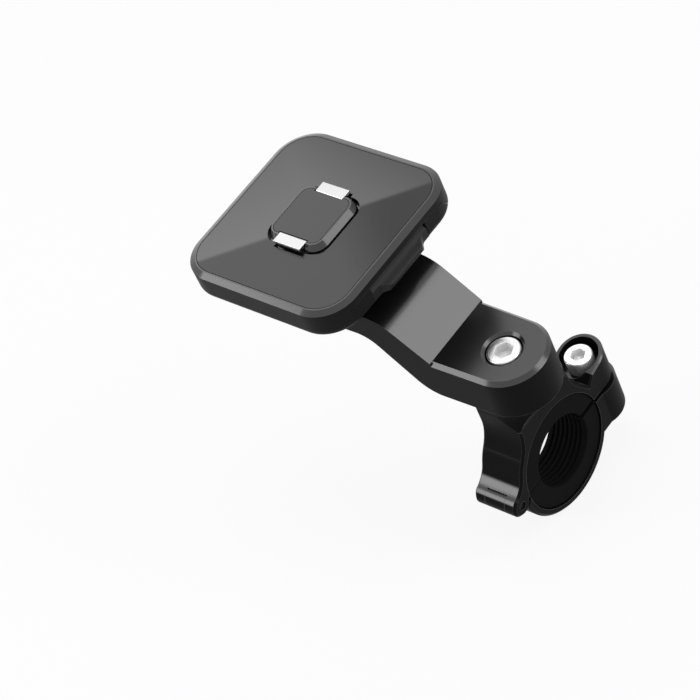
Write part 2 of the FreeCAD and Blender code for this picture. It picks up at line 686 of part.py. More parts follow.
def arm_post():
    """Turned post between the arm and the head, with a fillet at its foot."""
    foot = ARM_SHELF
    r = BOSS_RADIUS
    f = BOSS_FILLET
    slant = f * (1 - math.cos(math.pi / 4))
    bend = through(Vector(r + f, 0, foot), Vector(r + slant, 0, foot + slant), Vector(r, 0, foot + f))
    edges = [line(Vector(0, 0, foot - 1), Vector(r + f, 0, foot - 1)),
             line(Vector(r + f, 0, foot - 1), Vector(r + f, 0, foot)), bend,
             line(Vector(r, 0, foot + f), Vector(r, 0, HEAD_BOTTOM)),
             line(Vector(r, 0, HEAD_BOTTOM), Vector(0, 0, HEAD_BOTTOM)),
             line(Vector(0, 0, HEAD_BOTTOM), Vector(0, 0, foot - 1))]
    post = Part.Face(Part.Wire(edges)).revolve(Vector(0, 0, 0), Vector(0, 0, 1), 360)
    post.translate(Vector(HEAD_X, 0, 0))
    return post


def arm():
    plan = Part.Face(arm_outline(0, 0)).extrude(Vector(0, 0, REACH))
    body = arm_profile().common(plan)
    body = body.cut(arm_bevel())
    body = fuse(body, arm_post())
    bore = M6_HEAD_RADIUS + PIVOT_BORE_CLEAR
    body = body.cut(upright(bore, PIVOT_SEAT - HEAD_SEAT, REACH))
    body = body.cut(Part.makeCone(bore, bore + PIVOT_BEVEL + 1, PIVOT_BEVEL + 1,
                                  Vector(0, 0, ARM_FACE - PIVOT_BEVEL)))
    body = body.cut(upright(M6_RADIUS + PIVOT_FIT, 0, REACH))
    for side in (-1, 1):
        x = HEAD_X + side * M4_OUT
        recess = ARM_UNDER_SHELF + M4_HEAD_HEIGHT + M4_CLEAR
        body = body.cut(upright(M4_HEAD_RADIUS + M4_CLEAR, 0, recess, x))
        body = body.cut(upright(M4_RADIUS + M4_CLEAR, 0, REACH, x))
    return body.removeSplitter()


def arm_screws():
    """Two screws that hold the head on the arm, from below."""
    seat = ARM_UNDER_SHELF + M4_HEAD_HEIGHT + M4_CLEAR
    length = PLATE_TOP + COLLAR_HEIGHT - 0.2 - seat
    return Part.makeCompound([socket_screw(M4_RADIUS, length, M4_HEAD_RADIUS, M4_HEAD_HEIGHT, M4_HEX,
                                           HEAD_X + side * M4_OUT, 0, seat, -1) for side in (-1, 1)])


# Head

def head_body():
    """Whole outer form of the head, before it is parted and hollowed."""
    block = rounded_block(HEAD_HALF, HEAD_HALF, HEAD_CORNER, HEAD_BOTTOM, PAD_TOP - RIM_DROP)
    under = [e for e in block.Edges if e.BoundBox.ZMax < HEAD_BOTTOM + 0.01]
    block = block.makeFillet(HEAD_EDGE, under)
    rim = frustum((HEAD_HALF, HEAD_HALF, HEAD_CORNER, PAD_TOP - RIM_DROP),
                  (HEAD_HALF - RIM_BEVEL, HEAD_HALF - RIM_BEVEL, HEAD_CORNER - RIM_BEVEL, PAD_TOP))
    return fuse(block, rim)


def parting(gap):
    """Side of the head that belongs to the back cover: a thin slab below, which
    rises on the button's side through an S-curve at each corner."""
    low = HEAD_BOTTOM + COVER_EDGE - gap
    high = PAD_TOP - TRIM_TOP - gap
    slab = box(HEAD_X - REACH, HEAD_X + REACH, -REACH, REACH, HEAD_BOTTOM - 1, low)
    half = TRIM_HALF - gap
    edges = []
    ends = {}
    for side in (-1, 1):
        top = Vector(0, side * half, high)
        foot = Vector(0, side * (half + TRIM_FALL), low)
        curve = Part.BezierCurve()
        curve.setPoles([top, Vector(0, side * (half + 0.55 * TRIM_FALL), high),
                        Vector(0, side * (half + 0.45 * TRIM_FALL), low), foot])
        edges.append(curve.toShape())
        ends[side] = (top, foot)
    edges.append(line(ends[-1][0], ends[1][0]))
    corner = [Vector(0, side * (half + TRIM_FALL), HEAD_BOTTOM - 1) for side in (-1, 1)]
    edges.append(line(ends[1][1], corner[1]))
    edges.append(line(corner[1], corner[0]))
    edges.append(line(corner[0], ends[-1][1]))
    side_face = Part.Face(Part.Wire(Part.__sortEdges__(edges)))
    side_face.translate(Vector(HEAD_X + TRIM_INSIDE, 0, 0))
    raised = side_face.extrude(Vector(REACH, 0, 0))
    return slab.fuse(raised)


def latch_guides():
    """Notch and 45 degree slot of both latches, with the room that they sweep."""
    slack = LATCH_CLEAR
    inner = LATCH_INNER - PEDESTAL_TOP - slack      # guide faces: y = z + this
    outer = inner + LATCH_STEM + 2 * slack
    ledge = PEDESTAL_TOP - LATCH_UNDERCUT - LATCH_RETRACT - slack
    lip = PEDESTAL_TOP - LATCH_LIP - LATCH_RETRACT - slack
    low = -PAD_THICK - ROOF_THICK - 1
    high = PEDESTAL_TOP + 1
    reach = PEDESTAL_FOOT + GROOVE_WIDTH
    outline = [(high + inner, high), (low + inner, low), (low + outer, low), (ledge + outer, ledge),
               (reach, lip), (reach, high)]
    guide = across_bar([(y, PAD_TOP + z) for y, z in outline],
                       HEAD_X - LATCH_HALF - slack, HEAD_X + LATCH_HALF + slack)
    return guide.fuse(mirror_y(guide))


def head_housing():
    """Upper shell with the rim, the pad's recess and the latch pedestal."""
    body = head_body().cut(parting(-COVER_SEAM))
    body = body.cut(rounded_block(INNER_HALF, INNER_HALF, INNER_CORNER, HEAD_BOTTOM - 1, CEILING))
    body = body.cut(rounded_block(PAD_HALF, PAD_HALF, PAD_CORNER, ROOF_TOP, PAD_TOP + 1))
    stand = frustum((PEDESTAL_FOOT, PEDESTAL_FOOT, PEDESTAL_CORNER + PEDESTAL_FOOT - PEDESTAL_HALF,
                     PAD_TOP),
                    (PEDESTAL_HALF, PEDESTAL_HALF, PEDESTAL_CORNER, PAD_TOP + PEDESTAL_TOP))
    plinth = rounded_block(PEDESTAL_FOOT, PEDESTAL_FOOT,
                           PEDESTAL_CORNER + PEDESTAL_FOOT - PEDESTAL_HALF, ROOF_TOP - 1, PAD_TOP)
    recess = PEDESTAL_HALF - CAP_RIM
    ribs = []
    pockets = []
    for x, y in four_corners(MAGNET_X, MAGNET_Y):
        ribs.append(upright(MAGNET_RADIUS + MAGNET_RIB, CEILING - MAGNET_THICK, CEILING, x, y))
        pockets.append(upright(MAGNET_RADIUS + SEAT_GAP, CEILING - MAGNET_THICK, CEILING, x, y))
    posts = [upright(POST_RADIUS, FLOOR + COVER_POST_HEIGHT + SEAT_GAP, CEILING, x, y)
             for x, y in four_corners(SCREW_OUT, SCREW_OUT)]
    body = fuse(body, plinth, stand, *ribs, *posts)
    body = body.cut(pockets)
    body = body.cut(rounded_block(recess, recess, PEDESTAL_CORNER - CAP_RIM,
                                  PAD_TOP + PEDESTAL_TOP - CAP_THICK, REACH))
    body = body.cut(latch_guides())
    holes = [upright(SCREW_RADIUS + THREAD_FIT, 0, FLOOR + COVER_POST_HEIGHT + SCREW_LENGTH, x, y)
             for x, y in four_corners(SCREW_OUT, SCREW_OUT)]
    return body.cut(holes).removeSplitter()


def slide_ribs():
    """Ribs on the cover's floor that carry and guide the slide's two rails."""
    under = PAD_TOP - SLIDE_BOTTOM - SLIDE_CLEAR
    outer = RAIL_OUTER + SLIDE_CLEAR + RIB_WALL
    x0 = HEAD_X + RAIL_END
    x1 = HEAD_X + BRIDGE_INNER - BUTTON_TRAVEL - SLIDE_CLEAR
    rib = box(x0, x1, RAIL_INNER, outer, FLOOR - 0.5, PAD_TOP - SLIDE_BOTTOM + RIB_HEIGHT)
    rail_room = box(x0, x1, RAIL_INNER - 1, RAIL_OUTER + SLIDE_CLEAR, under, REACH)
    rib = rib.cut(rail_room)
    return [rib, mirror_y(rib)]


def back_cover():
    """Floor of the head, with the raised side wall that holds the button."""
    body = head_body().common(parting(0))
    body = body.cut(rounded_block(INNER_HALF, INNER_HALF, INNER_CORNER, FLOOR, REACH))
    step = INNER_HALF - SEAT_GAP
    lip = rounded_block(step, step, INNER_CORNER, HEAD_BOTTOM + COVER_EDGE - 0.5, FLOOR + COVER_LIP)
    inside = step - COVER_LIP_WALL
    lip = lip.cut(rounded_block(inside, inside, INNER_CORNER - COVER_LIP_WALL, FLOOR, REACH))
    posts = [upright(POST_RADIUS, FLOOR - 0.5, FLOOR + COVER_POST_HEIGHT, x, y)
             for x, y in four_corners(SCREW_OUT, SCREW_OUT)]
    body = fuse(body, lip, *posts, *slide_ribs())
    tail = HEAD_X + BRIDGE_OUTER - BUTTON_TRAVEL - BUTTON_CLEAR
    window = box(tail, HEAD_X + REACH, -BUTTON_HALF, BUTTON_HALF,
                 PAD_TOP - BUTTON_BOTTOM - BUTTON_CLEAR, REACH)
    half = BUTTON_HALF + BUTTON_FLANGE + BUTTON_CLEAR
    lip_gap = box(tail, HEAD_X + INNER_HALF, -half, half, FLOOR, REACH)
    body = body.cut([window, lip_gap])
    for x, y in four_corners(SCREW_OUT, SCREW_OUT):
        recess = HEAD_BOTTOM + SCREW_SUNK + SCREW_HEAD_HEIGHT
        body = body.cut(upright(SCREW_HEAD_RADIUS + 0.1, 0, recess, x, y))
        body = body.cut(upright(SCREW_RADIUS + 0.15, 0, REACH, x, y))
    for side in (-1, 1):
        body = body.cut(upright(M4_RADIUS + M4_CLEAR, 0, REACH, HEAD_X + side * M4_OUT))
    return body.removeSplitter()


def cover_screws():
    """Four screws that hold the cover on the housing, from below."""
    seat = HEAD_BOTTOM + SCREW_SUNK + SCREW_HEAD_HEIGHT
    length = FLOOR + COVER_POST_HEIGHT + SCREW_LENGTH - 0.3 - seat
    return Part.makeCompound([socket_screw(SCREW_RADIUS, length, SCREW_HEAD_RADIUS, SCREW_HEAD_HEIGHT,
                                           SCREW_HEX, x, y, seat, -1)
                              for x, y in four_corners(SCREW_OUT, SCREW_OUT)])


def top_pad():
    """Soft face round the pedestal, slotted under both latches."""
    half = PAD_HALF - PAD_SEAM
    pad = rounded_block(half, half, PAD_CORNER - PAD_SEAM, ROOF_TOP, PAD_TOP)
    hole = PEDESTAL_FOOT + GROOVE_WIDTH
    pad = pad.cut(rounded_block(hole, hole, PEDESTAL_CORNER + hole - PEDESTAL_HALF, 0, REACH))
    wide = LATCH_HALF + LATCH_CLEAR
    out = LATCH_OUTER + LATCH_SLOT
    return pad.cut(box(HEAD_X - wide, HEAD_X + wide, -out, out, 0, REACH))


def pedestal_cap():
    """Thin plate let into the top of the pedestal."""
    half = PEDESTAL_HALF - CAP_RIM - CAP_SEAM
    plate = rounded_block(half, half, PEDESTAL_CORNER - CAP_RIM - CAP_SEAM,
                          PAD_TOP + PEDESTAL_TOP - CAP_THICK, PAD_TOP + PEDESTAL_TOP)
    wide = LATCH_HALF + CAP_NOTCH
    notch = box(HEAD_X - wide, HEAD_X + wide, LATCH_INNER - CAP_NOTCH, REACH, 0, REACH)
    return plate.cut([latch_guides(), notch, mirror_y(notch)])


def latch():
    """Front latch: a hooked top on a sloping stem, and a foot with two wedges."""
    inner = LATCH_INNER - PEDESTAL_TOP
    outer = inner + LATCH_STEM
    ledge = PEDESTAL_TOP - LATCH_UNDERCUT
    outline = [(LATCH_INNER, PEDESTAL_TOP), (LATCH_OUTER, PEDESTAL_TOP),
               (LATCH_OUTER, PEDESTAL_TOP - LATCH_LIP), (ledge + outer, ledge),
               (outer - FOOT_TOP - 0.4, -FOOT_TOP - 0.4), (inner - FOOT_TOP - 0.4, -FOOT_TOP - 0.4)]
    stem = across_bar([(y, PAD_TOP + z) for y, z in outline], HEAD_X - LATCH_HALF, HEAD_X + LATCH_HALF)
    foot = box(HEAD_X - LATCH_HALF, HEAD_X + LATCH_HALF, FOOT_INNER, FOOT_OUTER,
               PAD_TOP - FOOT_TOP - FOOT_THICK, PAD_TOP - FOOT_TOP)
    drop = TOOTH_LENGTH * LATCH_RETRACT / BUTTON_TRAVEL
    wedges = [polygon([Vector(HEAD_X + start, FOOT_OUTER - 1, PAD_TOP - FOOT_TOP - FOOT_THICK),
                       Vector(HEAD_X + start, TOOTH_TIP, PAD_TOP - FOOT_TOP - FOOT_THICK),
                       Vector(HEAD_X + start + TOOTH_LENGTH, TOOTH_TIP - drop,
                              PAD_TOP - FOOT_TOP - FOOT_THICK),
                       Vector(HEAD_X + start + TOOTH_LENGTH, FOOT_OUTER - 1,
                              PAD_TOP - FOOT_TOP - FOOT_THICK)], Vector(0, 0, FOOT_THICK))
              for start in TOOTH_STARTS]
    return fuse(stem, foot, *wedges)


def cam_slide():
    """U-shaped slide: two rails whose ramps push the latches' wedges inwards,
    joined by a bridge behind the button."""
    low = PAD_TOP - SLIDE_BOTTOM
    high = PAD_TOP - SLIDE_TOP
    drop = TOOTH_LENGTH * LATCH_RETRACT / BUTTON_TRAVEL
    tip = TOOTH_TIP + TOOTH_GAP
    rail = box(HEAD_X + RAIL_END, HEAD_X + BRIDGE_OUTER, RAIL_INNER, RAIL_OUTER, low, high)
    ramps = [polygon([Vector(HEAD_X + start, tip, low), Vector(HEAD_X + start, RAIL_INNER + 0.5, low),
                      Vector(HEAD_X + start + TOOTH_LENGTH, RAIL_INNER + 0.5, low),
                      Vector(HEAD_X + start + TOOTH_LENGTH, tip - drop, low)], Vector(0, 0, high - low))
             for start in TOOTH_STARTS]
    half = fuse(rail, *ramps)
    bridge = box(HEAD_X + BRIDGE_INNER, HEAD_X + BRIDGE_OUTER, -RAIL_OUTER, RAIL_OUTER, low, high)
    return fuse(half, mirror_y(half), bridge)


def release_button():
    """Button in the side wall: scooped above, with a finger ledge below."""
    low = PAD_TOP - BUTTON_BOTTOM
    high = PAD_TOP - BUTTON_TOP
    wall = HEAD_X + HEAD_HALF - 0.1
    inside = HEAD_X + BRIDGE_OUTER
    ledge = wall + BUTTON_BULGE
    depth = high - low
    half = BUTTON_HALF - BUTTON_CLEAR
    side = [line(Vector(inside, 0, low), Vector(ledge - 0.9, 0, low)),
            Part.Arc(Vector(ledge - 0.9, 0, low), Vector(ledge - 0.2, 0, low + 0.35),
                     Vector(ledge, 0, low + 1.1)).toShape()]
    scoop = Part.BezierCurve()
    scoop.setPoles([Vector(ledge, 0, low + 1.1), Vector(ledge, 0, low + 0.45 * depth),
                    Vector(wall - BUTTON_SCOOP, 0, low + 0.5 * depth), Vector(wall - BUTTON_SCOOP, 0, high)])
    side += [scoop.toShape(),
             line(Vector(wall - BUTTON_SCOOP, 0, high), Vector(inside, 0, high)),
             line(Vector(inside, 0, high), Vector(inside, 0, low))]
    section = Part.Face(Part.Wire(side))
    section.translate(Vector(0, -half, 0))
    form = section.extrude(Vector(0, 2 * half, 0))
    plan = [line(Vector(ledge, -BULGE_HALF, low), Vector(ledge, BULGE_HALF, low))]
    for turn in (-1, 1):
        blend = Part.BezierCurve()
        y0 = turn * BULGE_HALF
        y1 = turn * (BULGE_HALF + BULGE_BLEND)
        blend.setPoles([Vector(ledge, y0, low), Vector(ledge, (y0 + y1) / 2, low),
                        Vector(wall, (y0 + y1) / 2, low), Vector(wall, y1, low)])
        plan.append(blend.toShape())
        plan.append(line(Vector(wall, y1, low), Vector(wall, turn * half, low)))
        plan.append(line(Vector(wall, turn * half, low), Vector(inside, turn * half, low)))
    plan.append(line(Vector(inside, half, low), Vector(inside, -half, low)))
    outline = Part.Face(Part.Wire(Part.__sortEdges__(plan))).extrude(Vector(0, 0, depth))
    flange_x = HEAD_X + INNER_HALF - 0.2 - BUTTON_FLANGE_THICK
    flange = box(flange_x, flange_x + BUTTON_FLANGE_THICK, -half - BUTTON_FLANGE, half + BUTTON_FLANGE,
                 low + 1, high)
    return fuse(form.common(outline), flange)


def anchor_plate():
    """Steel plate on the cover's floor that takes the arm's screws."""
    plate = rounded_block(PLATE_HALF_X, PLATE_HALF_Y, 2.0, FLOOR, PLATE_TOP)
    collars = [upright(COLLAR_RADIUS, FLOOR, PLATE_TOP + COLLAR_HEIGHT, HEAD_X + side * M4_OUT)
               for side in (-1, 1)]
    holes = [upright(M4_RADIUS + THREAD_FIT, 0, REACH, HEAD_X + side * M4_OUT) for side in (-1, 1)]
    seats = [upright(COIL_RADIUS + WIRE_WIDTH / 2 + COIL_CLEAR, 0, REACH, HEAD_X, side * COIL_Y)
             for side in (-1, 1)]
    return fuse(plate, *collars).cut(holes + seats)


def magnets():
    return Part.makeCompound([upright(MAGNET_RADIUS, CEILING - MAGNET_THICK, CEILING, x, y)
                              for x, y in four_corners(MAGNET_X, MAGNET_Y)])


def latch_spring():
    """Flat-wire compression spring from the cover's floor to the front latch's foot."""
    length = PAD_TOP - FOOT_TOP - FOOT_THICK - FLOOR
    rise = length - WIRE_HEIGHT
    helix = Part.makeHelix(rise / COILS, rise, COIL_RADIUS)
    helix.translate(Vector(0, 0, WIRE_HEIGHT / 2))
    corners = [Vector(COIL_RADIUS + dx * WIRE_WIDTH / 2, 0, (1 + dz) * WIRE_HEIGHT / 2)
               for dx, dz in ((-1, -1), (1, -1), (1, 1), (-1, 1), (-1, -1))]
    spring = Part.Wire(helix).makePipeShell([Part.makePolygon(corners)], True, True)
    spring.translate(Vector(HEAD_X, COIL_Y, FLOOR))
    return spring


def build():
    front_latch = latch()
    front_spring = latch_spring()
    pieces = {
        "upper_jaw": upper_jaw(), "lower_jaw": lower_jaw(), "hinge_pin": hinge_pin(),
        "clamp_bolt": clamp_bolt(), "liner_upper": liner_upper(), "liner_lower": liner_lower(),
        "swivel_washer": swivel_washer(), "pivot_bolt": pivot_bolt(), "arm": arm(),
        "arm_screws": arm_screws(), "head_housing": head_housing(), "back_cover": back_cover(),
        "cover_screws": cover_screws(), "top_pad": top_pad(), "pedestal_cap": pedestal_cap(),
        "latch_front": front_latch, "latch_rear": mirror_y(front_latch),
        "latch_spring_front": front_spring, "latch_spring_rear": mirror_y(front_spring),
        "cam_slide": cam_slide(), "release_button": release_button(),
        "anchor_plate": anchor_plate(), "magnets": magnets(),
    }
    os.makedirs("parts", exist_ok=True)
    for name, shape in pieces.items():
        print(name, "valid" if shape.isValid() else "NOT VALID", "solids", len(shape.Solids),
              "volume %.1f" % shape.Volume)
        shape.exportStep("parts/%s.step" % name)


build()
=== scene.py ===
"""Looks of the bicycle phone mount: finishes, fine detail, studio and camera."""

import json
import math

import bmesh
import bpy
import numpy as np
from mathutils import Matrix, Vector

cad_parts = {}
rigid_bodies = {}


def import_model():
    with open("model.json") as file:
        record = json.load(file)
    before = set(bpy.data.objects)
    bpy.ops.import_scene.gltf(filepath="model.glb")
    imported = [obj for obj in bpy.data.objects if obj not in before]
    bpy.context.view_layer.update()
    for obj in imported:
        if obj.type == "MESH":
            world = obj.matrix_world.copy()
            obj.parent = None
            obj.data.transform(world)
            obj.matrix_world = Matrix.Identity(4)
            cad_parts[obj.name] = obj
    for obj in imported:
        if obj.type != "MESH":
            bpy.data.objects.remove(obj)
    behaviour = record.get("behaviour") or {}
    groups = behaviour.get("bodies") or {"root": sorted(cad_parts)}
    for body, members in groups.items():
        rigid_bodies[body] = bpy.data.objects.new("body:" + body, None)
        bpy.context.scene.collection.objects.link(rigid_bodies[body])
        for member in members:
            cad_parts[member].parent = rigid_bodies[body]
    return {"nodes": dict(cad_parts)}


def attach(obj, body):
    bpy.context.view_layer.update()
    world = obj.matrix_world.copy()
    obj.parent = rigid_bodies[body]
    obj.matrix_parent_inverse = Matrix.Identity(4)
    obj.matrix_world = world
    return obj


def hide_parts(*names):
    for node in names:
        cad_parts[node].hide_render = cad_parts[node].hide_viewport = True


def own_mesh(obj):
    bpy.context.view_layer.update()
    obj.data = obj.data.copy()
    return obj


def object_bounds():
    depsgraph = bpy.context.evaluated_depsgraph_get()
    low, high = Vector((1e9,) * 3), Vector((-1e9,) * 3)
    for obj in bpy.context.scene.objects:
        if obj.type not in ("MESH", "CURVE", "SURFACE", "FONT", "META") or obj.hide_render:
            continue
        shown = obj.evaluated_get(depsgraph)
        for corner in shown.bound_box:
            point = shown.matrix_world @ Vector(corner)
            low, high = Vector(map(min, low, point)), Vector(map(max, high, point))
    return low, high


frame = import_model()
cad_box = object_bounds()

MM = 0.001
MICRON = 0.000001
ROUND = 2 * math.pi
WHITE = (1, 1, 1, 1)

# Places in the mount, in millimetres
HEAD_X = -57.2
CLAMP_SCREW_Y = 23.9
CLAMP_SEAT_Z = 8.3
PIVOT_SEAT_Z = 35.7
ARM_SCREW_OUT = 8.5
ARM_SEAT_Z = 49.4
COVER_SCREW_OUT = 22.0
COVER_SEAT_Z = 65.2
SPRING_OUT = 3.0
SPRING_FOOT_Z = 65.62


# Node helpers

def give(node, **values):
    """Sets input values of a node by name, with underscores for spaces."""
    for name, value in values.items():
        node.inputs[name.replace("_", " ")].default_value = value


def add(tree, kind, links=(), **settings):
    """Puts a node in a tree, sets its properties or input values, and links
    inputs: links is a list of (input name or number, source socket)."""
    node = tree.nodes.new(kind)
    for name, value in settings.items():
        if name in node.bl_rna.properties:
            setattr(node, name, value)
        else:
            give(node, **{name: value})
    for key, source in links:
        tree.links.new(source, node.inputs[key])
    return node


def maths(tree, operation, a, b=0.0, clamp=False):
    """Math node on sockets or plain numbers."""
    node = add(tree, "ShaderNodeMath", operation=operation, use_clamp=clamp)
    for slot, value in enumerate((a, b)):
        if isinstance(value, (int, float)):
            node.inputs[slot].default_value = value
        else:
            tree.links.new(value, node.inputs[slot])
    return node.outputs[0]


def blend(tree, factor, first, second):
    """Colour that goes from one to another, each a socket or plain numbers."""
    node = add(tree, "ShaderNodeMix", [("Factor", factor)], data_type="RGBA")
    colour_slots, colour_result = (6, 7), 2
    for slot, colour in zip(colour_slots, (first, second)):
        if isinstance(colour, tuple):
            node.inputs[slot].default_value = (*colour, 1)
        else:
            tree.links.new(colour, node.inputs[slot])
    return node.outputs[colour_result]


def smooth_step(tree, value, low, high):
    """0 below one value, 1 above another and a smooth rise between them."""
    return add(tree, "ShaderNodeMapRange", [("Value", value)], interpolation_type="SMOOTHSTEP",
               From_Min=low, From_Max=high).outputs[0]


def shown_rays(tree):
    """1 for camera, glossy and transmission rays, and 0 for the rest."""
    path = add(tree, "ShaderNodeLightPath")
    shown = path.outputs["Is Camera Ray"]
    for kind in ("Is Glossy Ray", "Is Transmission Ray"):
        shown = maths(tree, "ADD", shown, path.outputs[kind], clamp=True)
    return shown


# Effects that several finishes share

VECTOR, NUMBER = "NodeSocketVector", "NodeSocketFloat"


def effect(name, numbers, outputs, vectors=()):
    """Empty node group with number inputs given as (name, default), vector
    inputs by name, and outputs given as (name, socket type)."""
    tree = bpy.data.node_groups.new(name, "ShaderNodeTree")
    for label in vectors:
        tree.interface.new_socket(label, in_out="INPUT", socket_type=VECTOR)
    for label, value in numbers:
        socket = tree.interface.new_socket(label, in_out="INPUT", socket_type=NUMBER)
        socket.default_value = value
    for label, kind in outputs:
        tree.interface.new_socket(label, in_out="OUTPUT", socket_type=kind)
    return tree, tree.nodes.new("NodeGroupInput"), tree.nodes.new("NodeGroupOutput")


def grain_effect():
    """Fine blasted or moulded grain: two sizes of noise added as a height, and
    a slow blotch for changes of colour and roughness."""
    coarse_scale, coarse_height = 0.31, 0.7
    tree, given, result = effect("fine_grain", [("Size", 2200.0), ("Blotch", 60.0)],
                                 [("Height", NUMBER), ("Blotch", NUMBER)], vectors=["Place"])
    place, size = given.outputs["Place"], given.outputs["Size"]
    fine = add(tree, "ShaderNodeTexNoise", [("Vector", place), ("Scale", size)],
               Detail=2.0, Roughness=0.6)
    coarse = add(tree, "ShaderNodeTexNoise",
                 [("Vector", place), ("Scale", maths(tree, "MULTIPLY", size, coarse_scale))],
                 Detail=1.0)
    blotch = add(tree, "ShaderNodeTexNoise",
                 [("Vector", place), ("Scale", given.outputs["Blotch"])],
                 Detail=3.0, Roughness=0.55)
    height = maths(tree, "ADD", fine.outputs[0],
                   maths(tree, "MULTIPLY", coarse.outputs[0], coarse_height))
    tree.links.new(height, result.inputs["Height"])
    tree.links.new(blotch.outputs[0], result.inputs["Blotch"])
    return tree


def edge_effect():
    """Softened edges: the rounded normal, and a mask for a painted edge highlight that grows where
    the rounded normal turns away from the face's own normal."""
    tree, given, result = effect("soft_edges", [("Radius", 0.0004), ("Spread", 3.0)],
                                 [("Normal", VECTOR), ("Edge highlight", NUMBER)])
    bevel = add(tree, "ShaderNodeBevel", [("Radius", given.outputs["Radius"])], samples=6)
    face = add(tree, "ShaderNodeNewGeometry")
    along = add(tree, "ShaderNodeVectorMath", [(0, bevel.outputs[0]), (1, face.outputs["Normal"])],
                operation="DOT_PRODUCT")
    away = maths(tree, "SUBTRACT", 1.0, along.outputs["Value"])
    mask = maths(tree, "MULTIPLY", away, given.outputs["Spread"], clamp=True)
    tree.links.new(bevel.outputs[0], result.inputs["Normal"])
    tree.links.new(mask, result.inputs["Edge highlight"])
    return tree


def upward_effect():
    """Gloss of faces that look up: 0 below one height of the normal and 1 above
    another."""
    tree, given, result = effect("upward_gloss", [("Low", 0.58), ("High", 0.70)],
                                 [("Gloss", NUMBER)])
    normal = add(tree, "ShaderNodeNewGeometry").outputs["Normal"]
    height = add(tree, "ShaderNodeSeparateXYZ", [(0, normal)]).outputs["Z"]
    rise = add(tree, "ShaderNodeMapRange",
               [("Value", height), ("From Min", given.outputs["Low"]),
                ("From Max", given.outputs["High"])], interpolation_type="SMOOTHSTEP")
    tree.links.new(rise.outputs[0], result.inputs["Gloss"])
    return tree


GRAIN = grain_effect()
EDGES = edge_effect()
UPWARD = upward_effect()


# Finishes

def turned_height(tree, place, height, rings):
    """A height with turning marks: the sine of the distance from an upright
    axis, where rings is (x, y, rings per metre)."""
    x, y, count = rings
    shifted = add(tree, "ShaderNodeVectorMath", [(0, place)], operation="SUBTRACT")
    shifted.inputs[1].default_value = (x, y, 0)
    parts = add(tree, "ShaderNodeSeparateXYZ", [(0, shifted.outputs[0])])
    squares = maths(tree, "ADD", maths(tree, "POWER", parts.outputs["X"], 2.0),
                    maths(tree, "POWER", parts.outputs["Y"], 2.0))
    wave = maths(tree, "SINE", maths(tree, "MULTIPLY", maths(tree, "SQRT", squares), count * ROUND))
    return maths(tree, "ADD", maths(tree, "MULTIPLY", wave, 0.5), height)


def finish_of(name, colour, edge_highlight_colour, roughness, spread, metallic=0.0, specular=0.5,
              grain=2200.0, bump=10.0, radius=0.4, highlight_spread=3.0, coat=None, coat_from=None,
              rings=None, side_roughness=None):
    """Material for one finish: a base colour that drifts, a painted edge highlight that turns
    the colour to a lighter edge colour along edges rounded with a radius (mm), roughness that
    drifts by spread, and grain as bump (micrometres). coat is (index, roughness), on all faces
    or, with coat_from (low, high), on those whose normal rises past these heights. rings gives
    turning marks, and side_roughness is for faces that don't look up."""
    drift = 0.2
    material = bpy.data.materials.new(name)
    material.use_nodes = True
    tree = material.node_tree
    shader = tree.nodes["Principled BSDF"]
    give(shader, Metallic=metallic, Specular_IOR_Level=specular)
    place = add(tree, "ShaderNodeTexCoord").outputs["Object"]
    grains = add(tree, "ShaderNodeGroup", [("Place", place)], node_tree=GRAIN, Size=grain)
    edges = add(tree, "ShaderNodeGroup", node_tree=EDGES, Radius=radius * MM, Spread=highlight_spread)
    blotch = grains.outputs["Blotch"]

    patch = blend(tree, blotch, tuple(c * (1 - drift) for c in colour),
                  tuple(c * (1 + drift) for c in colour))
    # Painted highlight: the colour turns to the lighter edge colour where the edge mask rises,
    # standing for light caught along edges and chamfers.
    tree.links.new(blend(tree, edges.outputs["Edge highlight"], patch, edge_highlight_colour),
                   shader.inputs["Base Color"])

    change = maths(tree, "MULTIPLY", maths(tree, "SUBTRACT", blotch, 0.5), spread)
    if side_roughness:
        upward = add(tree, "ShaderNodeGroup", node_tree=UPWARD)
        less = maths(tree, "MULTIPLY", upward.outputs["Gloss"], roughness - side_roughness)
        roughness = maths(tree, "ADD", side_roughness, less)
    tree.links.new(maths(tree, "ADD", change, roughness, clamp=True), shader.inputs["Roughness"])

    height = grains.outputs["Height"]
    if rings:
        height = turned_height(tree, place, height, rings)
    relief = add(tree, "ShaderNodeBump", [("Height", height), ("Normal", edges.outputs["Normal"])],
                 Strength=1.0, Distance=bump * MICRON)
    tree.links.new(relief.outputs[0], shader.inputs["Normal"])

    if coat:
        index, coat_roughness = coat
        give(shader, Coat_IOR=index, Coat_Roughness=coat_roughness)
        if coat_from:
            low, high = coat_from
            upward = add(tree, "ShaderNodeGroup", node_tree=UPWARD, Low=low, High=high)
            tree.links.new(upward.outputs["Gloss"], shader.inputs["Coat Weight"])
        else:
            give(shader, Coat_Weight=1.0)
    return material


def grey(level):
    """Neutral colour of one level."""
    return (level, level, level)


def turned_steel(name, x, y):
    """Bright stainless screw, with turning marks about its own axis."""
    # grey(0.84) is the painted edge highlight of the steel.
    return finish_of(name, (0.76, 0.76, 0.765), grey(0.84), metallic=1.0,
                     roughness=0.22, spread=0.06, side_roughness=0.62,
                     grain=1500.0, bump=0.6, radius=0.2, rings=(x * MM, y * MM, 4200.0))
